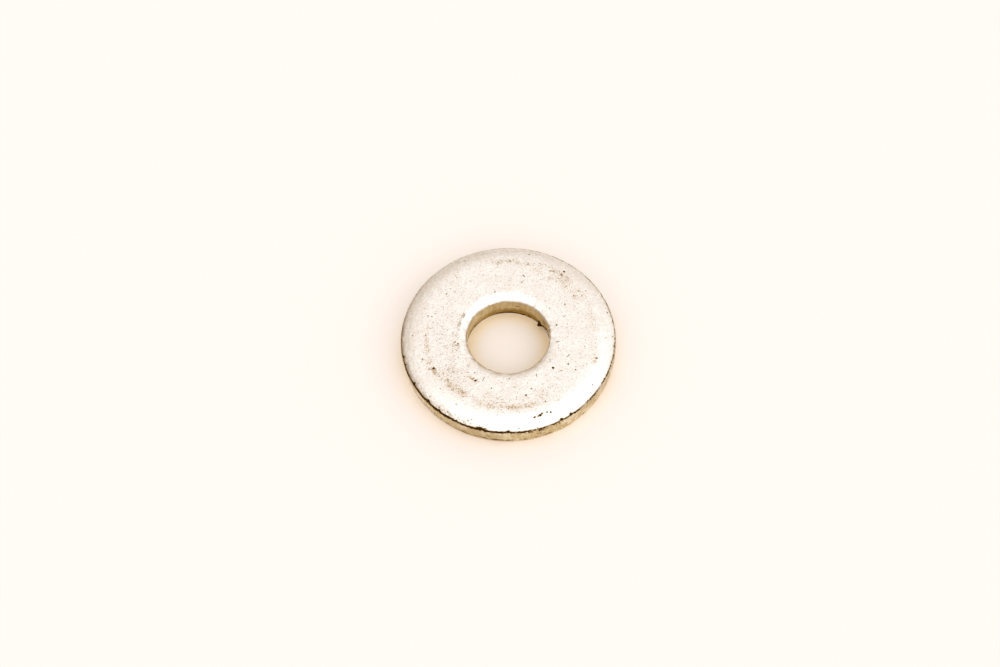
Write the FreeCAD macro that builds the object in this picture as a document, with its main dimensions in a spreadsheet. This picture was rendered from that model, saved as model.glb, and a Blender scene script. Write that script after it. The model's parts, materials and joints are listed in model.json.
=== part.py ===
import FreeCAD, Part
import math
import os

import Sketcher

# A flat washer, punched in one stroke from steel strip, tumbled and zinc plated.
#
# Frame: origin on the bore axis at the underside, +Z towards the rolled face, millimetres.
#
# The press leaves the same zones on both cut walls, read here from the rolled face down:
#   roll    the strip is drawn down towards the cut, a wide curve that ends in a tight corner
#   land    straight wall, shaved smooth by the tool, which carries the true diameter
#   tear    the last of the strip breaks away, so the wall leans back from the land
#   edge    the sharp lower edge, tumbled to a small radius before plating
# Both rolls are on the upper face, because rim and bore are cut in the same direction.

# The driving dimensions, in millimetres: alias, value, meaning.
SIZES = (
    ("outer_diameter", 17.0, "rim land, the true outside diameter"),
    ("bore_diameter", 6.5, "bore land, clearance for a 6 mm screw"),
    ("thickness", 2.15, "underside to rolled face"),
    ("rim_roll_width", 1.7, "radial reach of the roll at the rim"),
    ("rim_roll_depth", 0.55, "fall of the rolled face at the rim"),
    ("rim_corner", 0.3, "radius between the rim roll and the rim land"),
    ("rim_tear_height", 0.75, "underside to the foot of the rim land"),
    ("rim_tear_lean", 0.12, "how far the rim tear leans in"),
    ("bore_roll_width", 0.9, "radial reach of the roll at the bore"),
    ("bore_roll_depth", 0.34, "fall of the rolled face at the bore"),
    ("bore_corner", 0.2, "radius between the bore roll and the bore land"),
    ("bore_tear_height", 0.7, "underside to the foot of the bore land"),
    ("bore_tear_lean", 0.05, "how far the bore tear opens out"),
    ("edge_radius", 0.08, "radius tumbled onto both lower edges"),
)

# The section's edges, numbered in the order they are drawn round the outline.
UNDERSIDE, RIM_TEAR, RIM_LAND, RIM_ROLL, UPPER_FACE, BORE_ROLL, BORE_LAND, BORE_TEAR = range(8)

# The sketcher's own numbers: the two ends of an edge, the origin and the horizontal axis.
START, END = 1, 2
ORIGIN = (-1, START)
HORIZONTAL_AXIS = -1

FULL_TURN = 360
SAME_PLACE = 1e-4  # how far apart two places may be and still count as one
LEAST_FILL = 0.85  # the least share of the plain ring that the rolls and roundings leave


def make_sheet(doc):
    """The spreadsheet of driving dimensions, one aliased cell each."""
    sheet = doc.addObject("Spreadsheet::Sheet", "sizes")
    for row, (alias, value, meaning) in enumerate(SIZES, start=1):
        sheet.set(f"A{row}", meaning)
        sheet.set(f"B{row}", str(value))
        sheet.setAlias(f"B{row}", alias)
    doc.recompute()
    return sheet


def section_corners(sheet):
    """Where the section's edges start, as (radius, height) points."""
    rim = sheet.outer_diameter / 2
    bore = sheet.bore_diameter / 2
    corners = (
        (bore + sheet.bore_tear_lean, 0),
        (rim - sheet.rim_tear_lean, 0),
        (rim, sheet.rim_tear_height),
        (rim, sheet.thickness - sheet.rim_roll_depth),
        (rim - sheet.rim_roll_width, sheet.thickness),
        (bore + sheet.bore_roll_width, sheet.thickness),
        (bore, sheet.thickness - sheet.bore_roll_depth),
        (bore, sheet.bore_tear_height),
    )
    return [FreeCAD.Vector(radius, height, 0) for radius, height in corners]


def roll_arc(level_end, wall_end):
    """The arc that leaves the upper face level at one end and meets the wall at the other."""
    width = abs(wall_end.x - level_end.x)
    depth = level_end.y - wall_end.y
    radius = (width**2 + depth**2) / (2 * depth)
    centre = level_end - FreeCAD.Vector(0, radius, 0)
    circle = Part.Circle(centre, FreeCAD.Vector(0, 0, 1), radius)
    wall_angle = math.atan2(wall_end.y - centre.y, wall_end.x - centre.x)
    return Part.ArcOfCircle(circle, *sorted((wall_angle, math.pi / 2)))


def draw_section(body, sheet):
    """The half section beside the axis, fully constrained, with each size bound to the sheet."""
    plane = next(f for f in body.Origin.OriginFeatures if f.Role == "XZ_Plane")
    sketch = body.newObject("Sketcher::SketchObject", "section")
    sketch.AttachmentSupport = [(plane, "")]
    sketch.MapMode = "FlatFace"

    corners = section_corners(sheet)
    outline = [Part.LineSegment(a, b) for a, b in zip(corners, corners[1:] + corners[:1])]
    outline[RIM_ROLL] = roll_arc(corners[UPPER_FACE], corners[RIM_ROLL])
    outline[BORE_ROLL] = roll_arc(corners[BORE_ROLL], corners[BORE_LAND])
    sketch.addGeometry(outline)

    level_joins = ((RIM_ROLL, UPPER_FACE), (UPPER_FACE, BORE_ROLL))
    for edge in range(len(outline)):
        following = (edge + 1) % len(outline)
        kind = "Tangent" if (edge, following) in level_joins else "Coincident"
        sketch.addConstraint(Sketcher.Constraint(kind, edge, END, following, START))
    for edge in (UNDERSIDE, UPPER_FACE):
        sketch.addConstraint(Sketcher.Constraint("Horizontal", edge))
    for edge in (RIM_LAND, BORE_LAND):
        sketch.addConstraint(Sketcher.Constraint("Vertical", edge))
    sketch.addConstraint(Sketcher.Constraint("PointOnObject", UNDERSIDE, START, HORIZONTAL_AXIS))

    # Name, direction, from, to, expression: each distance is positive from the first point.
    distances = (
        ("rim_radius", "DistanceX", ORIGIN, (RIM_LAND, START), "sizes.outer_diameter / 2"),
        ("bore_radius", "DistanceX", ORIGIN, (BORE_LAND, START), "sizes.bore_diameter / 2"),
        ("thickness", "DistanceY", ORIGIN, (UPPER_FACE, START), "sizes.thickness"),
        ("rim_tear_height", "DistanceY", ORIGIN, (RIM_LAND, START), "sizes.rim_tear_height"),
        ("rim_tear_lean", "DistanceX", (RIM_TEAR, START), (RIM_TEAR, END), "sizes.rim_tear_lean"),
        ("rim_roll_depth", "DistanceY", (RIM_ROLL, START), (RIM_ROLL, END), "sizes.rim_roll_depth"),
        ("rim_roll_width", "DistanceX", (RIM_ROLL, END), (RIM_ROLL, START), "sizes.rim_roll_width"),
        ("bore_tear_height", "DistanceY", ORIGIN, (BORE_LAND, END), "sizes.bore_tear_height"),
        ("bore_tear_lean", "DistanceX", (BORE_TEAR, START), (BORE_TEAR, END), "sizes.bore_tear_lean"),
        ("bore_roll_depth", "DistanceY", (BORE_ROLL, END), (BORE_ROLL, START), "sizes.bore_roll_depth"),
        ("bore_roll_width", "DistanceX", (BORE_ROLL, END), (BORE_ROLL, START), "sizes.bore_roll_width"),
    )
    for name, direction, first, second, expression in distances:
        span = sketch.getPoint(*second) - sketch.getPoint(*first)
        drawn = span.x if direction == "DistanceX" else span.y
        index = sketch.addConstraint(Sketcher.Constraint(direction, *first, *second, drawn))
        sketch.renameConstraint(index, name)
        sketch.setExpression(f"Constraints.{name}", expression)
    return sketch


def round_edges(body, base, name, alias, places):
    """A fillet on the circular edges of base that lie at these (radius, height) places."""
    found = []
    for number, edge in enumerate(base.Shape.Edges, start=1):
        box = edge.BoundBox
        for radius, height in places:
            at_height = max(abs(box.ZMin - height), abs(box.ZMax - height)) < SAME_PLACE
            if at_height and abs(box.XMax - radius) < SAME_PLACE:
                found.append(f"Edge{number}")
    if len(found) != len(places):
        raise RuntimeError(f"{name} found edges {found} for the places {places}")
    fillet = body.newObject("PartDesign::Fillet", name)
    fillet.Base = (base, found)
    fillet.setExpression("Radius", f"sizes.{alias}")
    body.Document.recompute()
    return fillet


def make_washer(doc, sheet):
    """The washer itself, one piece of steel: the section turned about the axis, then rounded."""
    body = doc.addObject("PartDesign::Body", "washer")
    body.Label = "washer"
    body.Placement = FreeCAD.Placement()
    section = draw_section(body, sheet)
    ring = body.newObject("PartDesign::Revolution", "ring")
    ring.Profile = section
    ring.ReferenceAxis = (section, ["V_Axis"])
    ring.Angle = FULL_TURN
    doc.recompute()
    if not section.FullyConstrained:
        raise RuntimeError("the section has a dimension missing")

    corners = [(corner.x, corner.y) for corner in section_corners(sheet)]
    rim_corner = round_edges(body, ring, "rim_rounding", "rim_corner", [corners[RIM_ROLL]])
    bore_corner = round_edges(
        body, rim_corner, "bore_rounding", "bore_corner", [corners[BORE_LAND]]
    )
    lower_edges = [corners[UNDERSIDE], corners[RIM_TEAR]]
    round_edges(body, bore_corner, "lower_rounding", "edge_radius", lower_edges)
    return body


def check(doc, bodies):
    """Stops before anything is written if a feature failed or a shape isn't one sound solid."""
    for thing in doc.Objects:
        if "Invalid" in thing.State or "Error" in thing.State:
            raise RuntimeError(f"{thing.Name} failed: {thing.State}")
    for body in bodies:
        shape = body.Shape
        if shape.isNull() or not shape.isValid() or len(shape.Solids) != 1:
            raise RuntimeError(f"{body.Label} isn't one sound solid")


def check_size(body, sheet):
    """The finished solid fills the stated box, and the roundings took a little metal off."""
    box = body.Shape.optimalBoundingBox(False)
    wanted = (sheet.outer_diameter, sheet.outer_diameter, sheet.thickness)
    for length, stated in zip((box.XLength, box.YLength, box.ZLength), wanted):
        if abs(length - stated) > SAME_PLACE:
            raise RuntimeError(f"{body.Label} measures {length} where {stated} was stated")
    rim = sheet.outer_diameter / 2
    bore = sheet.bore_diameter / 2
    plain_ring = math.pi * (rim**2 - bore**2) * sheet.thickness
    if not LEAST_FILL * plain_ring < body.Shape.Volume < plain_ring:
        raise RuntimeError(f"{body.Label} has the wrong volume, {body.Shape.Volume}")


def main():
    doc = FreeCAD.newDocument("flat_washer")
    sheet = make_sheet(doc)
    bodies = [make_washer(doc, sheet)]
    doc.recompute()
    check(doc, bodies)
    os.makedirs("parts", exist_ok=True)
    for body in bodies:
        check_size(body, sheet)
        body.Shape.exportStep(f"parts/{body.Label}.step")
        print(f"{body.Label}: {body.Shape.Volume:.1f} cubic millimetres")


main()
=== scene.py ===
import json
import math
import random

import bpy
import numpy as np
from mathutils import Matrix, Vector, noise


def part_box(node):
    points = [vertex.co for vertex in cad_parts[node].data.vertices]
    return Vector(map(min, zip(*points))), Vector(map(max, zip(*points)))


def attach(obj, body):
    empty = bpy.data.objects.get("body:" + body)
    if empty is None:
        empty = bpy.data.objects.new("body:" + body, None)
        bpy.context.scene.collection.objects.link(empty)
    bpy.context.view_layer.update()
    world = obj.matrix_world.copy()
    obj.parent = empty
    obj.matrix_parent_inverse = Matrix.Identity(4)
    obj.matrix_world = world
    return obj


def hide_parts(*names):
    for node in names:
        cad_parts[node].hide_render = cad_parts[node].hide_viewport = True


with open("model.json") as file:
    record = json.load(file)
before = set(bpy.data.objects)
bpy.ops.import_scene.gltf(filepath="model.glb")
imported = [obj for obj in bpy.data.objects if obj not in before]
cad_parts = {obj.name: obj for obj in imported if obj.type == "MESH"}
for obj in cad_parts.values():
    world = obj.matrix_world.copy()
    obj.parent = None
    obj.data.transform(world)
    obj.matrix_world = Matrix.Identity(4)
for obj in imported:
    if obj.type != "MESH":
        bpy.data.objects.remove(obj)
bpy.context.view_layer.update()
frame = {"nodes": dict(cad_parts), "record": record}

# The looks of a flat washer: one punched, tumbled and zinc plated ring of steel on a pale floor.
#
# The CAD solid gives the clean section. This script turns it into one closed ring mesh with
# the marks of the press and of wear, and lights it inside a warm light tent.
# The frame is the CAD's: metres, origin at the bore's centre on the underside, +Z up, the
# viewer on the -Y side. Angles run anticlockwise from +X, seen from above. The washer's own
# lengths are in millimetres, and MM turns them into metres as the mesh is made.

MM = 0.001
NODE = "washer"
PIECE = "washer_plated"
SLOT = "zinc_plated_steel"

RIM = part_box(NODE)[1].x / MM
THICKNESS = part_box(NODE)[1].z / MM
BORE = next(m["dims"]["r_mm"] for m in frame["record"]["mounts"] if m["name"] == "bore")

# ------------------------------------------------------------------ the ring mesh

SEGMENTS = 560  # spokes round the ring
FINE_STEP = 0.06  # millimetres between the section's points where detail shows
COARSE_STEP = 0.3  # and between them on the underside
UNDERSIDE_MARGINS = (0.4, 0.5)  # how far from the bore and from the rim the wide spacing stops
SAMPLES = 8000  # fine samples of the outline, from which the points are picked
HALF_TURN = 180
TALL = 1000  # a stretch that makes noise the same from the top of a wall to its foot


def cad_outline():
    """The CAD section's corners as (radius, height) in millimetres, in order round the section."""
    points = np.array([v.co for v in frame["nodes"][NODE].data.vertices]) / MM
    outline = np.column_stack((np.hypot(points[:, 0], points[:, 1]), points[:, 2]))
    outline = np.unique(outline.round(4), axis=0)
    middle = (outline.min(axis=0) + outline.max(axis=0)) / 2
    turn = np.arctan2(outline[:, 1] - middle[1], outline[:, 0] - middle[0])
    return outline[np.argsort(turn)]


def section_stations(outline):
    """Points along the outline, close together where detail shows and wide on the underside."""
    loop = np.vstack((outline, outline[:1]))
    lengths = np.hypot(*np.diff(loop, axis=0).T)
    along = np.concatenate(([0], np.cumsum(lengths)))
    dense = np.linspace(0, along[-1], SAMPLES)
    radius = np.interp(dense, along, loop[:, 0])
    height = np.interp(dense, along, loop[:, 1])
    by_bore, by_rim = UNDERSIDE_MARGINS
    hidden = (height < FINE_STEP) & (radius > BORE + by_bore) & (radius < RIM - by_rim)
    step = np.where(hidden, COARSE_STEP, FINE_STEP)
    effort = np.concatenate(([0], np.cumsum(np.diff(dense) / step[1:])))
    count = int(round(effort[-1]))
    places = np.interp(np.linspace(0, effort[-1], count, endpoint=False), effort, dense)
    return np.column_stack((np.interp(places, dense, radius), np.interp(places, dense, height)))


def section_normals(stations):
    """Outward unit normals of the section at its stations."""
    along = np.roll(stations, -1, axis=0) - np.roll(stations, 1, axis=0)
    along /= np.hypot(*along.T)[:, None]
    return np.column_stack((along[:, 1], -along[:, 0]))


def fractal(points, size, octaves):
    """Smooth noise of about -1 to 1 at points, whose largest lumps are size millimetres across."""
    flat = points.reshape(-1, 3) / size
    values = [noise.fractal(Vector(p), 1.0, 2.0, octaves) for p in flat]
    return np.array(values).reshape(points.shape[:-1])


def smooth_step(value, low, high):
    """0 up to low, 1 from high, and a smooth rise between them."""
    share = np.clip((value - low) / (high - low), 0, 1)
    return share * share * (3 - 2 * share)


def hump(distance, width):
    """1 at no distance, easing to nothing a width or two away."""
    return np.exp(-((distance / width) ** 2))


def degrees_apart(first, second):
    """The smaller angle between two directions, in degrees."""
    return np.abs((first - second + HALF_TURN) % (2 * HALF_TURN) - HALF_TURN)


# What is painted on the surface, each as a strength from 0 to 1 that the material reads: brown
# film, crowded pits, rubbed clean, black dirt and painted shade, torn steel, cut walls, painted
# shade in the bore, and dulled plating and painted shade.
PAINTS = ("film", "pitted", "rubbed", "dirt_and_shade", "torn", "wall", "bore_shade", "dull_and_shade")


class Ring:
    """The washer's surface as a grid: one row per spoke, one column per station of the section.

    Each point has an angle, radius and height, a tilt (1 on the upper face, 0 on a wall and -1
    on the underside), and how far it lies below the upper corner of its side, along the section.
    Upright is 1 on the walls and 0 on the faces. The marks add to lift, along the clean surface's
    normal, to rise, straight up, and to paint.
    """

    def __init__(self):
        stations = section_stations(cad_outline())
        normals = section_normals(stations)
        turns = np.linspace(0, 2 * math.pi, SEGMENTS, endpoint=False)
        spokes = np.column_stack((np.cos(turns), np.sin(turns)))
        shape = (SEGMENTS, len(stations))
        outer = stations[:, 0] > (BORE + RIM) / 2
        self.outer = np.broadcast_to(outer, shape)
        self.angle = np.broadcast_to(np.degrees(turns)[:, None], shape)
        self.radius = np.broadcast_to(stations[:, 0], shape)
        self.height = np.broadcast_to(stations[:, 1], shape)
        self.tilt = np.broadcast_to(normals[:, 1], shape)
        along = np.cumsum(np.hypot(*(stations - np.roll(stations, 1, axis=0)).T))
        below = np.where(
            outer,
            self.corner(stations, normals, along, outer) - along,
            along - self.corner(stations, normals, along, ~outer),
        )
        self.below = np.broadcast_to(below, shape)
        self.clean = np.empty((*shape, 3))
        self.clean[..., :2] = spokes[:, None, :] * stations[None, :, 0, None]
        self.clean[..., 2] = stations[None, :, 1]
        self.outward = np.empty_like(self.clean)
        self.outward[..., :2] = spokes[:, None, :] * normals[None, :, 0, None]
        self.outward[..., 2] = normals[None, :, 1]
        self.upright = 1 - smooth_step(np.abs(self.tilt), 0.25, 0.6)
        self.lift = np.zeros(shape)
        self.rise = np.zeros(shape)
        self.paint = {name: np.zeros(shape) for name in PAINTS}

    @staticmethod
    def corner(stations, normals, along, side):
        """How far along the section the upper corner of one side lies, where it slopes evenly."""
        upper = side & (stations[:, 1] > THICKNESS / 2)
        slope = np.where(upper, np.abs(normals[:, 1] - math.sqrt(0.5)), 1)
        return along[np.argmin(slope)]

    def noise(self, size, octaves=3, stretch=1):
        """Fractal noise over the surface, drawn out upwards by stretch."""
        places = self.clean.copy()
        places[..., 2] /= stretch
        return fractal(places, size, octaves)

    def towards(self, angle, spread):
        """1 at an angle round the ring, easing to nothing a spread or two away, in degrees."""
        return hump(degrees_apart(self.angle, angle), spread)

    def arc(self, angle):
        """Distance round the ring to an angle, in millimetres."""
        return np.radians(degrees_apart(self.angle, angle)) * self.radius

    def from_place(self, angle, share):
        """Offsets right and away in plan from a place, given by its angle and share of the rim."""
        turn = math.radians(angle)
        right = self.clean[..., 0] - math.cos(turn) * share * RIM
        away = self.clean[..., 1] - math.sin(turn) * share * RIM
        return right, away

    def add_paint(self, name, amount):
        """Adds a layer of paint, which covers what is there only where it is stronger."""
        self.paint[name] = np.clip(np.maximum(self.paint[name], amount), 0, 1)


# Stains on the upper face: start and end angle, radius and half width as shares of the rim's
# radius, strength of the brown film, strength of the pitting.
STAINS = (
    (168, 204, 0.755, 0.030, 0.60, 0.80),
    (198, 214, 0.775, 0.035, 0.65, 0.95),
    (206, 250, 0.745, 0.042, 0.65, 0.85),
    (244, 300, 0.765, 0.042, 0.70, 0.75),
    (283, 299, 0.895, 0.014, 0.80, 1.00),
    (62, 102, 0.800, 0.032, 0.45, 0.85),
    (38, 72, 0.825, 0.050, 0.35, 0.65),
    (20, 40, 0.820, 0.080, 0.40, 0.45),
    (336, 346, 0.845, 0.025, 0.70, 0.80),
    (12, 28, 0.800, 0.060, 0.30, 0.35),
    (144, 176, 0.465, 0.028, 0.10, 1.00),
    (172, 200, 0.500, 0.060, 0.10, 0.70),
    (228, 242, 0.570, 0.028, 0.60, 0.80),
    (318, 332, 0.460, 0.025, 0.20, 0.80),
    (225, 330, 0.415, 0.020, 0.20, 0.60),
    (236, 315, 0.690, 0.105, 0.30, 0.32),
    (155, 235, 0.650, 0.140, 0.15, 0.46),
    (20, 78, 0.760, 0.110, 0.40, 0.40),
    (110, 165, 0.690, 0.140, 0.05, 0.20),
)

# Single dark pits on the upper face: angle, radius share, size across in millimetres.
PITS = (
    (318.5, 0.54, 0.22),
    (350, 0.455, 0.15),
    (262, 0.51, 0.13),
    (190, 0.475, 0.18),
    (206, 0.77, 0.22),
    (237, 0.57, 0.20),
    (328, 0.72, 0.17),
    (324.5, 0.465, 0.15),
    (283, 0.66, 0.18),
    (284.5, 0.895, 0.18),
    (286.5, 0.897, 0.17),
    (288, 0.890, 0.20),
    (289.5, 0.882, 0.19),
    (292.5, 0.885, 0.17),
    (294.5, 0.900, 0.17),
    (141, 0.73, 0.16),
    (52, 0.87, 0.20),
    (60, 0.80, 0.16),
    (35, 0.81, 0.15),
    (342, 0.85, 0.18),
    (325, 0.93, 0.16),
)

# Deep nicks in the rim's corner: angle, length and depth in millimetres.
NICKS = (
    (26, 0.30, 0.07),
    (344, 0.22, 0.08),
    (354, 0.18, 0.07),
    (190.5, 0.32, 0.12),
    (208, 0.25, 0.09),
    (221, 0.45, 0.10),
    (229, 0.40, 0.08),
    (254, 0.75, 0.12),
    (269, 0.30, 0.11),
    (298.5, 0.32, 0.10),
    (304.5, 0.32, 0.10),
)
NICK_BELOW = 0.08  # how far below the corner their middles lie
NICK_BREADTH = 0.17  # how far up and down they reach

# How many small marks there are besides: nicks along the rim's corner, chips in the roll above
# it, dashes on the walls and pits on the upper face.
SMALL_NICKS = 60
CHIPS = 70
DASHES = 90
SMALL_PITS = 120

# The mean height of the land's foot, where the tear begins.
RIM_LAND_FOOT = 0.80
BORE_LAND_FOOT = 0.75


def work_the_press_marks(ring):
    """The land is shaved smooth with fine upright scores. The tear below it is rough."""
    scores = ring.noise(0.22, 2, 40)
    rough = ring.noise(0.35, 4)
    sway = ring.noise(2.5, 3, TALL)
    border = np.where(ring.outer, RIM_LAND_FOOT, BORE_LAND_FOOT) + 0.22 * sway
    torn = ring.upright * (1 - smooth_step(ring.height, border - 0.08, border + 0.08))
    ring.lift += ring.upright * (1 - torn) * 0.007 * scores
    ring.lift += torn * (0.03 * rough - 0.02)
    golden = np.where(ring.outer, ring.upright, 1 - smooth_step(ring.tilt, 0.05, 0.35))
    ring.add_paint("wall", golden * ring.upright)
    ring.add_paint("torn", torn)


def shade_the_bore(ring):
    """Painted shade on the bore's wall: darker and browner all round, most towards its foot, on the
    far side and on the right.
    """
    right = ring.towards(30, 55)
    far = ring.towards(70, 45)
    foot = smooth_step(1 - ring.height / THICKNESS + 0.08 * ring.noise(0.35, 4), 0.50, 0.95)
    # Painted shade: the bore's wall darkened golden brown, most at its foot, on the far side and on
    # the right.
    bore_shade = 0.36 + 0.20 * right + (0.24 + 0.70 * far) * foot
    ring.add_paint("bore_shade", ~ring.outer * ring.upright * bore_shade)


def shade_and_soil_the_bore_foot(ring):
    """A dark line where the bore meets the underside, strongest on the far side: painted contact
    shadow, with some dirt.
    """
    # Painted contact shadow at the bore's foot, with some dirt.
    line = hump(ring.height - 0.10, 0.13) * (0.8 + 0.3 * ring.noise(0.6, 3, TALL))
    strength = 0.2 + 0.8 * ring.towards(85, 28)
    ring.add_paint("dirt_and_shade", strength * line * ~ring.outer * (np.abs(ring.tilt) < 0.8))


def rag_the_rim_corner(ring):
    """The skin of the roll ends at the rim's corner in a ragged lip over a groove painted dark,
    darkest at the front left.
    """
    wander = 0.05 * ring.noise(1.6, 4, TALL) + 0.025 * ring.noise(0.3, 3, TALL)
    front = ring.towards(222, 68)
    patches = 1 + 0.45 * ring.noise(0.8, 3, TALL)
    strength = (0.52 + 0.48 * front) * patches
    depth = ring.below - 0.12 * smooth_step(front, 0.02, 0.3) - wander
    breadth = np.where(depth < 0, 0.07, 0.15 + 0.09 * front)
    groove = ring.outer * hump(depth, breadth) * strength
    ring.lift -= 0.06 * groove
    ring.add_paint("dirt_and_shade", 1.05 * groove)

    lip = ring.outer * hump(ring.below + 0.08 - wander, 0.12) * (0.3 + 0.7 * front)
    ring.lift += 0.05 * lip * ring.noise(0.3, 3)


def soil_the_rim(ring):
    """Crowded pits above the rim's corner at the front left, and smudges below it at the front."""
    crowded = ring.outer * hump(ring.below + 0.2, 0.3) * ring.towards(230, 26)
    ring.add_paint("pitted", 1.5 * crowded * (1 + ring.noise(0.5, 3)))
    smudges = ring.outer * hump(ring.below - 0.32, 0.22) * ring.towards(284, 24)
    ring.add_paint("dirt_and_shade", 0.38 * smudges * (1 + ring.noise(0.4, 3)))


def dull_and_shade_the_rim(ring):
    """Painted shade at the rim's corner on the left, for the dark surroundings it reflects, and the
    plating worn dull on the wall below it.

    On the wall it is worst high up at the right, and over the whole height at the front left.
    """
    # Painted shade at the left corner, for the dark surroundings the roll reflects there.
    corner = smooth_step(ring.below, -0.35, 0.05) * (1 - smooth_step(ring.below, 0.3, 0.7))
    left_corner_shade = 0.95 * ring.towards(180, 42) * (0.9 + 0.3 * ring.noise(0.5, 3))
    ring.add_paint("dull_and_shade", ring.outer * corner * left_corner_shade)
    upper = smooth_step(ring.below, -0.05, 0.15) * (1 - smooth_step(ring.below, 0.25, 1.3))
    ring.add_paint("dull_and_shade", ring.outer * upper * (0.10 + 0.35 * ring.towards(352, 42)))
    wall = smooth_step(ring.below, 0.1, 0.3) * (ring.tilt < 0.5)
    ring.add_paint("dull_and_shade", ring.outer * wall * 0.30 * ring.towards(248, 24))


def tear_the_walls_back(ring):
    """Where the blank tore away further in, the walls lean back: rim front left, bore right."""
    low = 1 - smooth_step(ring.height, 0.2, 1.2)
    side = low * (1 - smooth_step(np.abs(ring.tilt), 0.7, 0.95))
    ring.lift -= 0.15 * ring.outer * side * ring.towards(206, 27)
    ring.lift -= 0.20 * ~ring.outer * side * ring.towards(20, 18)


def nick_the_rim_corner(ring):
    """Nicks along the rim's corner and chips in the roll above it, most of them at the front."""
    draw = random.Random(7)
    nicks = [(angle, length, depth, NICK_BELOW, NICK_BREADTH) for angle, length, depth in NICKS]
    for _ in range(SMALL_NICKS):
        length = draw.uniform(0.06, 0.22)
        below = draw.gauss(0.0, 0.08)
        nicks.append((draw.gauss(240, 45), length, draw.uniform(0.02, 0.06), below, 0.3 * length))
    for _ in range(CHIPS):
        length = draw.uniform(0.07, 0.18)
        below = -abs(draw.gauss(0.08, 0.18))
        nicks.append((draw.gauss(236, 17), length, draw.uniform(0.025, 0.05), below, 0.4 * length))
    for angle, length, depth, below, breadth in nicks:
        reach = np.hypot(ring.arc(angle) / (length / 2), (ring.below - below) / breadth)
        nick = hump(reach, 1) * ring.outer
        ring.lift -= depth * nick
        ring.add_paint("dirt_and_shade", 11 * depth * nick)


def line_the_bore_corner(ring):
    """The bore's upper corner is uneven, with a fine line by the land, and sharper on the right."""
    sharper = ring.towards(2, 48) * smooth_step(ring.tilt, 0.1, 0.6)
    ring.rise += 0.55 * ~ring.outer * sharper * (THICKNESS - ring.height)
    wander = 0.03 * ring.noise(0.8, 3, TALL)
    ring.lift += 0.05 * ~ring.outer * hump(ring.below, 0.35) * ring.noise(0.6, 3, TALL)
    line = ~ring.outer * hump(ring.below - 0.04 - wander, 0.07)
    ring.lift -= 0.01 * line
    ring.add_paint("dull_and_shade", line * (0.40 + 0.25 * ring.towards(8, 45)))


def scuff_and_shade_the_walls(ring):
    """A broken dark line low on the rim, painted contact shadow with some dirt, and short dark dashes
    on both walls.
    """
    line_height = 0.28
    line = 0.25 + 0.28 * ring.towards(272, 45) + 0.6 * ring.noise(0.5, 3, TALL)
    # Painted contact shadow with some dirt, low on the rim, strongest at the front.
    foot = hump(ring.height - line_height, 0.09) * line
    ring.add_paint("dirt_and_shade", foot * ring.outer * (ring.tilt < 0.3))
    draw = random.Random(3)
    for _ in range(DASHES):
        height = draw.choice((0.10, line_height, draw.uniform(0.1, 1.3)))
        length = draw.uniform(0.06, 0.35)
        strength = draw.uniform(0.45, 0.9)
        angle = draw.uniform(0, 2 * HALF_TURN)
        reach = np.hypot(ring.arc(angle) / length, (ring.height - height) / 0.06)
        dash = hump(reach, 1) * (ring.tilt < 0.3) * (ring.outer == (draw.random() < 0.75))
        ring.lift -= 0.02 * strength * dash
        ring.add_paint("dirt_and_shade", strength * dash)


def stain_the_face(ring):
    """Brown film and crowded pits in a broken ring and in patches, and rolls rubbed clean.

    The underside has a thin even scatter of pits.
    """
    face = smooth_step(ring.tilt, 0.6, 0.9)
    uneven = 0.8 + 0.6 * ring.noise(0.7, 3)
    for start, end, share, width, film, pitted in STAINS:
        middle = (start + end) / 2
        half = (end - start) / 2
        ends = 1 - smooth_step(degrees_apart(ring.angle, middle), 0.6 * half, 1.2 * half)
        band = hump(ring.radius / RIM - share, width)
        ring.add_paint("film", face * ends * band * film * uneven)
        ring.add_paint("pitted", face * ends * band * pitted * uneven)
    ring.add_paint("rubbed", smooth_step(1 - np.abs(ring.tilt), 0.003, 0.03))
    ring.add_paint("pitted", 0.4 * uneven * (ring.tilt < -0.9))


def pit_the_face(ring):
    """Single pits, each a small dark dish."""
    draw = random.Random(11)
    pits = list(PITS)
    for _ in range(SMALL_PITS):
        angle = draw.uniform(0, 2 * HALF_TURN)
        pits.append((angle, draw.uniform(0.45, 0.97), draw.uniform(0.09, 0.16)))
    for angle, share, size in pits:
        right, away = ring.from_place(angle, share)
        dish = hump(np.hypot(right, away), size / 2) * (ring.tilt > 0.5)
        ring.lift -= 0.12 * size * dish
        ring.add_paint("dirt_and_shade", 4.8 * size * dish)


BURR_ANGLE = 35.5
BURR_HEIGHT = 0.68
BURR_REACH = 0.45  # how far it stands into the bore


def leave_a_burr(ring):
    """A curled sliver of steel low in the bore, right of its far side, and dirt at the foot by it."""
    bore = ~ring.outer & (np.abs(ring.tilt) < 0.5)
    reach = np.hypot(ring.arc(BURR_ANGLE) / 0.27, (ring.height - BURR_HEIGHT) / 0.26)
    burr = hump(reach, 1) * bore
    ring.lift += BURR_REACH * burr
    ring.add_paint("dirt_and_shade", 1.8 * burr)
    trail = hump(ring.arc(28), 0.5) * hump(ring.height - 0.10, 0.12) * bore
    ring.add_paint("dirt_and_shade", 0.8 * trail)


def surface_points(ring):
    """Where the grid's points end up, in millimetres: lifted by the marks, kept in the CAD's box."""
    points = ring.clean + ring.outward * ring.lift[..., None]
    points[..., 2] += ring.rise
    reach = np.hypot(points[..., 0], points[..., 1])
    points[..., :2] *= np.minimum(1, RIM / reach)[..., None]
    points[..., 2] = np.clip(points[..., 2], 0, THICKNESS)
    return points


def grid_quads(rows, columns):
    """The faces of a grid that closes on itself both ways, as four point numbers each."""
    row = np.arange(rows)[:, None] * columns
    place = np.arange(columns)[None, :]
    next_row = np.roll(row, -1, axis=0)
    next_place = np.roll(place, -1, axis=1)
    corners = (row + place, next_row + place, next_row + next_place, row + next_place)
    return np.stack(corners, axis=-1).reshape(-1, 4)


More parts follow.
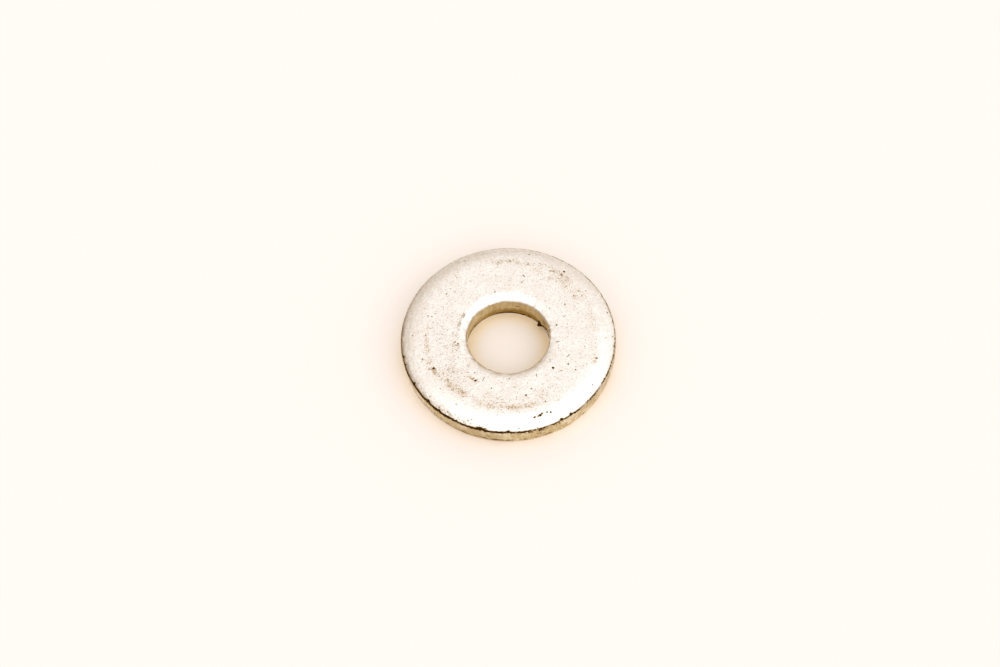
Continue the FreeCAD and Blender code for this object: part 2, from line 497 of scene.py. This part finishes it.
def make_washer():
    """The whole washer as one closed mesh, with its paint as point attributes."""
    ring = Ring()
    ring.lift += 0.006 * ring.noise(2.2, 2) + 0.003 * ring.noise(0.3, 3)
    work_the_press_marks(ring)
    shade_the_bore(ring)
    shade_and_soil_the_bore_foot(ring)
    rag_the_rim_corner(ring)
    soil_the_rim(ring)
    dull_and_shade_the_rim(ring)
    tear_the_walls_back(ring)
    nick_the_rim_corner(ring)
    line_the_bore_corner(ring)
    scuff_and_shade_the_walls(ring)
    stain_the_face(ring)
    pit_the_face(ring)
    leave_a_burr(ring)

    points = surface_points(ring).reshape(-1, 3) * MM
    quads = grid_quads(*ring.radius.shape)
    mesh = bpy.data.meshes.new(PIECE)
    mesh.from_pydata(points.tolist(), [], quads.tolist())
    mesh.polygons.foreach_set("use_smooth", [True] * len(mesh.polygons))
    for name, amount in ring.paint.items():
        attribute = mesh.attributes.new(name, "FLOAT", "POINT")
        attribute.data.foreach_set("value", amount.ravel().astype(np.float32))
    piece = bpy.data.objects.new(PIECE, mesh)
    bpy.context.scene.collection.objects.link(piece)
    return piece


# ------------------------------------------------------------------ materials


class Graph:
    """A node tree with one short call per node. All but node itself return the socket to use next."""

    def __init__(self, tree):
        self.tree = tree

    def node(self, kind, inputs=None, **settings):
        """A new node. Each input is a plain value or the socket that feeds it."""
        made = self.tree.nodes.new(kind)
        for name, value in settings.items():
            setattr(made, name, value)
        for name, value in (inputs or {}).items():
            if isinstance(value, bpy.types.NodeSocket):
                self.tree.links.new(value, made.inputs[name])
            else:
                made.inputs[name].default_value = value
        return made

    def math(self, operation, first, second=0.0, third=0.0):
        inputs = {0: first, 1: second, 2: third}
        return self.node("ShaderNodeMath", inputs, operation=operation).outputs[0]

    def vector(self, operation, first, second=(0, 0, 0), output="Vector"):
        inputs = {0: first, 1: second}
        return self.node("ShaderNodeVectorMath", inputs, operation=operation).outputs[output]

    def step(self, value, low, high, start=0.0, end=1.0):
        """A smooth rise from start to end as value goes from low to high."""
        inputs = {"Value": value, "From Min": low, "From Max": high, "To Min": start, "To Max": end}
        return self.node(
            "ShaderNodeMapRange", inputs, interpolation_type="SMOOTHSTEP"
        ).outputs["Result"]

    def noise(self, vector, size, detail=3.0, roughness=0.5):
        """Noise of 0 to 1 whose largest lumps are size millimetres across."""
        inputs = {"Vector": vector, "Scale": 1 / size, "Detail": detail, "Roughness": roughness}
        return self.node("ShaderNodeTexNoise", inputs).outputs["Fac"]

    def blend(self, share, first, second):
        """Colour first, going to second as share goes from 0 to 1."""
        made = self.node("ShaderNodeMix", {0: share}, data_type="RGBA")
        for socket, value in ((made.inputs[6], first), (made.inputs[7], second)):
            if isinstance(value, bpy.types.NodeSocket):
                self.tree.links.new(value, socket)
            else:
                socket.default_value = (*value, 1)
        return made.outputs[2]


def new_material(name):
    """An empty material and its graph."""
    material = bpy.data.materials.new(name)
    material.use_nodes = True
    material.node_tree.nodes.clear()
    return material, Graph(material.node_tree)


# Scratches on the upper face: angle and radius share of the middle, length in millimetres,
# heading in degrees from +X.
SCRATCHES = (
    (192, 0.49, 0.60, 345),
    (243, 0.52, 0.60, 62),
    (238, 0.56, 0.30, 50),
    (337, 0.595, 0.55, 40),
    (350, 0.463, 0.40, 15),
    (152, 0.46, 0.50, 70),
    (20, 0.56, 0.30, 30),
    (300, 0.50, 0.35, 100),
)
SCRATCH_WIDTH = 0.09


def object_place(graph):
    """The place on the object in millimetres, in the CAD's frame."""
    place = graph.node("ShaderNodeTexCoord").outputs["Object"]
    return graph.vector("MULTIPLY", place, (1 / MM,) * 3)


def scratch_lines(graph, place):
    """Where the upper face is scratched: 1 on a scratch, easing to 0 at its sides and ends."""
    height = graph.node("ShaderNodeSeparateXYZ", {0: place}).outputs["Z"]
    deepest = 0.0
    for angle, share, length, heading in SCRATCHES:
        turn = math.radians(angle)
        middle = (share * RIM * math.cos(turn), share * RIM * math.sin(turn), THICKNESS)
        offset = graph.vector("SUBTRACT", place, middle)
        bearing = math.radians(heading)
        forward = (math.cos(bearing), math.sin(bearing), 0)
        sideways = (-math.sin(bearing), math.cos(bearing), 0)
        along = graph.vector("DOT_PRODUCT", offset, forward, "Value")
        aside = graph.vector("DOT_PRODUCT", offset, sideways, "Value")
        ends = graph.step(graph.math("ABSOLUTE", along), 0.2 * length, 0.5 * length, 1.0, 0.0)
        line = graph.step(graph.math("ABSOLUTE", aside), 0, 0.5 * SCRATCH_WIDTH, 1.0, 0.0)
        deepest = graph.math("MAXIMUM", deepest, graph.math("MULTIPLY", ends, line))
    return graph.math("MULTIPLY", deepest, graph.math("GREATER_THAN", height, THICKNESS / 2))


# The plated surface's colours, from bright metal to dirt, with painted shade among them.
SILVER = ((0.69, 0.69, 0.68), (0.90, 0.90, 0.89))
CLOUDED_SILVER = (0.72, 0.70, 0.67)
GOLD = ((0.62, 0.535, 0.365), (1.0, 0.96, 0.83))
TORN_GOLD = (0.50, 0.40, 0.26)
MOTTLED_GOLD = (0.44, 0.36, 0.19)
# Painted shade for the bore's wall.
BORE_SHADE_COLOUR = (0.28, 0.21, 0.08)
# Dulled plating, and painted shade at the rim's left corner.
DULL_PLATING_AND_SHADE = (0.16, 0.145, 0.13)
BROWN_FILM = (0.52, 0.38, 0.23)
GREY_PIT = (0.155, 0.143, 0.135)
RUSTY_PIT = (0.21, 0.14, 0.075)
# Dirt, and the painted shade of the dark lines at the walls' feet.
DIRT_AND_SHADE_COLOUR = (0.020, 0.012, 0.006)

DOT_SPACING = 0.36


def pit_pattern(graph, place, crowd):
    """Irregular specks of three sizes and round dots: 1 in a pit, 0 between them."""

    def specks(size, rarest, softness):
        lumps = graph.math("ADD", graph.noise(place, size, 3.0, 0.75), crowd)
        return graph.step(lumps, rarest, rarest + softness)

    fine = graph.math("MULTIPLY", specks(0.12, 0.640, 0.16), 0.60)
    middling = graph.math("MULTIPLY", specks(0.20, 0.705, 0.09), 0.90)
    coarse = specks(0.32, 0.775, 0.06)
    inputs = {"Vector": place, "Scale": 1 / DOT_SPACING}
    cells = graph.node("ShaderNodeTexVoronoi", inputs).outputs["Distance"]
    cells = graph.math("MULTIPLY_ADD", crowd, -0.5, cells)
    dots = graph.math("MULTIPLY", graph.step(cells, 0.02, 0.10, 1.0, 0.0), 0.9)
    pits = graph.math("MAXIMUM", coarse, graph.math("MAXIMUM", middling, fine))
    return graph.math("MAXIMUM", pits, dots)


def soil_pattern(graph, place, dirt_and_shade):
    """Painted dirt and painted shade with ragged edges, and the scratches."""
    edge = graph.noise(place, 0.13, 3.0, 0.6)
    ragged = graph.math("MULTIPLY_ADD", graph.math("SUBTRACT", edge, 0.5), 1.5, dirt_and_shade)
    soiled_and_shaded = graph.math("MULTIPLY", graph.step(ragged, 0.30, 0.60), graph.step(dirt_and_shade, 0.04, 0.25))
    return graph.math("MAXIMUM", soiled_and_shaded, scratch_lines(graph, place))


def golden_wall(graph, place, cloud, film, torn):
    """The cut walls' colour: gold with upright scores, browner where torn, and mottled."""
    scores = graph.noise(graph.vector("MULTIPLY", place, (1, 1, 0.12)), 0.24, 2.0, 0.6)
    tone = graph.step(graph.math("MULTIPLY_ADD", scores, 0.6, film), 0.58, 1.02)
    golden = graph.blend(tone, *GOLD)
    golden = graph.blend(graph.math("MULTIPLY", torn, 0.15), golden, TORN_GOLD)
    mottled = graph.math("MULTIPLY", graph.step(cloud, 0.42, 0.60), 0.55)
    return graph.blend(mottled, golden, MOTTLED_GOLD)


def zinc_plate():
    """Dull tumbled zinc: matte silver, finely pitted, brown where it has begun to stain."""
    material, graph = new_material(SLOT)
    place = object_place(graph)
    paint = {
        name: graph.node("ShaderNodeAttribute", attribute_name=name).outputs["Fac"]
        for name in PAINTS
    }

    grain = graph.step(graph.noise(place, 0.20, 4.0, 0.7), 0.30, 0.70)
    cloud = graph.noise(place, 1.4, 4.0, 0.6)
    film = graph.noise(place, 0.20, 4.0, 0.75)
    crowd = graph.math("MULTIPLY_ADD", paint["pitted"], 0.14, graph.math("MULTIPLY", cloud, 0.16))
    sparse = graph.math("MAXIMUM", paint["rubbed"], paint["wall"])
    crowd = graph.math("MULTIPLY_ADD", sparse, -0.10, crowd)
    pits = pit_pattern(graph, place, crowd)
    soiled_and_shaded = soil_pattern(graph, place, paint["dirt_and_shade"])
    brown = graph.math("MULTIPLY_ADD", graph.math("SUBTRACT", film, 0.5), 1.6, paint["film"])
    brown = graph.math("MULTIPLY", graph.step(brown, 0.1, 1.1), paint["film"])

    silver = graph.blend(grain, *SILVER)
    silver = graph.blend(graph.step(cloud, 0.35, 0.7, 0.0, 0.4), silver, CLOUDED_SILVER)
    golden = golden_wall(graph, place, cloud, film, paint["torn"])
    colour = graph.blend(paint["wall"], silver, golden)
    # Painted shade: the bore's wall darkened golden brown.
    colour = graph.blend(paint["bore_shade"], colour, BORE_SHADE_COLOUR)
    # Dulled plating, and painted shade at the rim's left corner.
    colour = graph.blend(graph.math("MULTIPLY", paint["dull_and_shade"], 0.9), colour, DULL_PLATING_AND_SHADE)
    colour = graph.blend(graph.math("MULTIPLY", brown, 0.50), colour, BROWN_FILM)
    pit_colour = graph.blend(graph.step(paint["film"], 0.0, 0.6), GREY_PIT, RUSTY_PIT)
    colour = graph.blend(graph.math("MULTIPLY", pits, 0.9), colour, pit_colour)
    # Dirt, and painted shade at the walls' feet.
    colour = graph.blend(soiled_and_shaded, colour, DIRT_AND_SHADE_COLOUR)

    marred = graph.math("MAXIMUM", graph.math("MULTIPLY", pits, 0.6), soiled_and_shaded)
    marred = graph.math("MULTIPLY", marred, 0.8)
    rough = graph.step(grain, 0.0, 1.0, 0.30, 0.42)
    rough = graph.math("MULTIPLY_ADD", paint["torn"], 0.15, rough)
    rough = graph.math("MAXIMUM", rough, marred)
    metal = graph.math("SUBTRACT", 1.0, marred)

    height = graph.math("MULTIPLY", grain, 0.010)
    height = graph.math("MULTIPLY_ADD", pits, -0.012, height)
    height = graph.math("MULTIPLY_ADD", graph.math("MULTIPLY", film, paint["torn"]), 0.06, height)
    height = graph.math("MULTIPLY_ADD", soiled_and_shaded, -0.02, height)
    bump = graph.node("ShaderNodeBump", {"Height": height, "Distance": MM, "Strength": 1.0})
    shader = graph.node(
        "ShaderNodeBsdfPrincipled",
        {
            "Base Color": colour,
            "Metallic": metal,
            "Roughness": rough,
            "Specular IOR Level": 0.15,
            "Normal": bump.outputs[0],
        },
    )
    graph.node("ShaderNodeOutputMaterial", {"Surface": shader.outputs[0]})
    return material


FLOOR_COLOUR = (0.744, 0.727, 0.722)
# Painted light on the floor: a warm glow beside the washer and in its bore, and a paler, cooler lift
# behind it.
FLOOR_PAINTED_GLOW = (0.85, 0.785, 0.74)
FLOOR_PAINTED_LIFT_BEHIND = (0.79, 0.80, 0.82)
FLOOR_PAINTED_GLOW_IN_BORE = (0.83, 0.715, 0.57)


def floor_material():
    """Matt white card with painted light close to the washer: a warm glow beside it and in the bore
    for the light its golden walls throw, and a paler, cooler tint behind it that lifts the shade
    there.
    """
    material, graph = new_material("floor")
    place = object_place(graph)
    away = graph.node("ShaderNodeSeparateXYZ", {0: place}).outputs["Y"]
    radius = graph.vector("LENGTH", place, output="Value")
    # Painted light: warm glow beside the washer, paler and cooler behind it, and warm in the bore.
    painted_glow_and_lift = graph.blend(graph.step(away, -0.5 * RIM, 0.8 * RIM), FLOOR_PAINTED_GLOW, FLOOR_PAINTED_LIFT_BEHIND)
    outside = graph.blend(graph.step(radius, RIM - 0.3, RIM + 1.6), painted_glow_and_lift, FLOOR_COLOUR)
    inside = graph.blend(graph.step(radius, BORE - 1.4, BORE + 0.3), FLOOR_COLOUR, FLOOR_PAINTED_GLOW_IN_BORE)
    colour = graph.blend(graph.math("LESS_THAN", radius, BORE), outside, inside)
    shader = graph.node(
        "ShaderNodeBsdfPrincipled",
        {"Base Color": colour, "Roughness": 0.9, "Specular IOR Level": 0.0},
    )
    graph.node("ShaderNodeOutputMaterial", {"Surface": shader.outputs[0]})
    return material


# ------------------------------------------------------------------ floor, light and camera


FLOOR_RADIUS = 0.8  # metres, as all that follows
FLOOR_SIDES = 128
FLOOR_GAP = 0.01 * MM  # keeps the floor's face clear of the washer's underside


def make_floor():
    """A plain disc of pale card, wide enough to fill the view."""
    bpy.ops.mesh.primitive_circle_add(vertices=FLOOR_SIDES, radius=FLOOR_RADIUS, fill_type="NGON")
    floor = bpy.context.object
    floor.name = "floor"
    floor.location.z = -FLOOR_GAP
    floor.data.materials.append(floor_material())


TENT_COLOUR = (1.10, 1.0, 0.955, 1)
BACKDROP_COLOUR = (1.12, 0.975, 0.933, 1)


def light_tent():
    """A pale tent, brightest overhead, and a dark card, highest on the left.

    The card shows in the metal's reflections alone and takes no light from the matt floor.
    """
    world = bpy.data.worlds.new("light_tent")
    bpy.context.scene.world = world
    world.cycles.sampling_method = "NONE"
    world.use_nodes = True
    world.node_tree.nodes.clear()
    graph = Graph(world.node_tree)
    heading = graph.node("ShaderNodeTexCoord").outputs["Generated"]
    height = graph.node("ShaderNodeSeparateXYZ", {0: heading}).outputs["Z"]
    level = graph.vector("NORMALIZE", graph.vector("MULTIPLY", heading, (1, 1, 0)))

    def facing(vector, direction):
        """How closely a heading faces a direction: 1 straight at it, 0 side on."""
        unit = tuple(Vector(direction).normalized())
        return graph.vector("DOT_PRODUCT", vector, unit, "Value")

    walls = graph.step(height, 0.0, 0.55, 0.64, 1.04)
    right = graph.step(facing(heading, (1, 0.1, 0.4)), 0.3, 0.9, 0.0, 0.20)
    overhead = graph.step(facing(heading, (0.15, -0.5, 0.85)), 0.45, 0.80, 0.0, 0.55)
    sky = graph.math("ADD", walls, graph.math("ADD", right, overhead))

    # The dark card stands low all round, and its upper edge climbs towards the far left.
    ridge = graph.step(facing(level, (-0.85, 0.53, 0)), 0.30, 1.0, 0.0, 0.60)
    gap = graph.step(graph.math("SUBTRACT", height, ridge), -0.14, 0.08, 0.66, 1.0)
    ray = graph.node("ShaderNodeLightPath").outputs
    gap = graph.math("MAXIMUM", gap, ray["Is Diffuse Ray"])

    strength = graph.math("MULTIPLY", sky, gap)
    tent = graph.node("ShaderNodeBackground", {"Color": TENT_COLOUR, "Strength": strength})
    backdrop = graph.node("ShaderNodeBackground", {"Color": BACKDROP_COLOUR, "Strength": 1.0})
    mixed = graph.node(
        "ShaderNodeMixShader", {0: ray["Is Camera Ray"], 1: tent.outputs[0], 2: backdrop.outputs[0]}
    )
    graph.node("ShaderNodeOutputWorld", {"Surface": mixed.outputs[0]})


RED_POWER = 0.87  # below 1 lifts the darker reds
BLUE_POWER = 1.20  # above 1 lowers the darker blues
CURVE_POINTS = 12


def warm_shadows():
    """A display curve that keeps whites neutral and turns darker tones warm."""
    settings = bpy.context.scene.view_settings
    settings.view_transform = "Standard"
    settings.use_curve_mapping = True
    curves = settings.curve_mapping.curves
    for curve, power in ((curves[0], RED_POWER), (curves[2], BLUE_POWER)):
        for step in range(1, CURVE_POINTS):
            tone = (step / CURVE_POINTS) ** 2
            curve.points.new(tone, tone**power)
    settings.curve_mapping.update()


# The camera looks down at the front of the washer, which lies a little off the picture's centre.
ELEVATION = math.radians(59.3)
ROLL = math.radians(1.09)
DISTANCE = 27.99 * RIM * MM
AIM_RIGHT = -0.0794 * RIM * MM
AIM_UP = 0.143 * RIM * MM
LENS = 108  # millimetres, as is the sensor's width
SENSOR_WIDTH = 36
NEAREST_SEEN = 0.01
FARTHEST_SEEN = 5


def make_camera():
    right = Vector((1, 0, 0))
    up = Vector((0, math.sin(ELEVATION), math.cos(ELEVATION)))
    right, up = (
        right * math.cos(ROLL) - up * math.sin(ROLL),
        right * math.sin(ROLL) + up * math.cos(ROLL),
    )
    back = right.cross(up)
    camera = bpy.data.objects.new("camera", bpy.data.cameras.new("camera"))
    bpy.context.scene.collection.objects.link(camera)
    place = right * AIM_RIGHT + up * AIM_UP + back * DISTANCE
    turn = Matrix((right, up, back)).transposed().to_4x4()
    camera.matrix_world = Matrix.Translation(place) @ turn
    camera.data.lens = LENS
    camera.data.sensor_width = SENSOR_WIDTH
    camera.data.clip_start = NEAREST_SEEN
    camera.data.clip_end = FARTHEST_SEEN
    bpy.context.scene.camera = camera


washer = make_washer()
washer.data.materials.append(zinc_plate())
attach(washer, "root")
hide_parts(NODE)

make_floor()
light_tent()
warm_shadows()
make_camera()
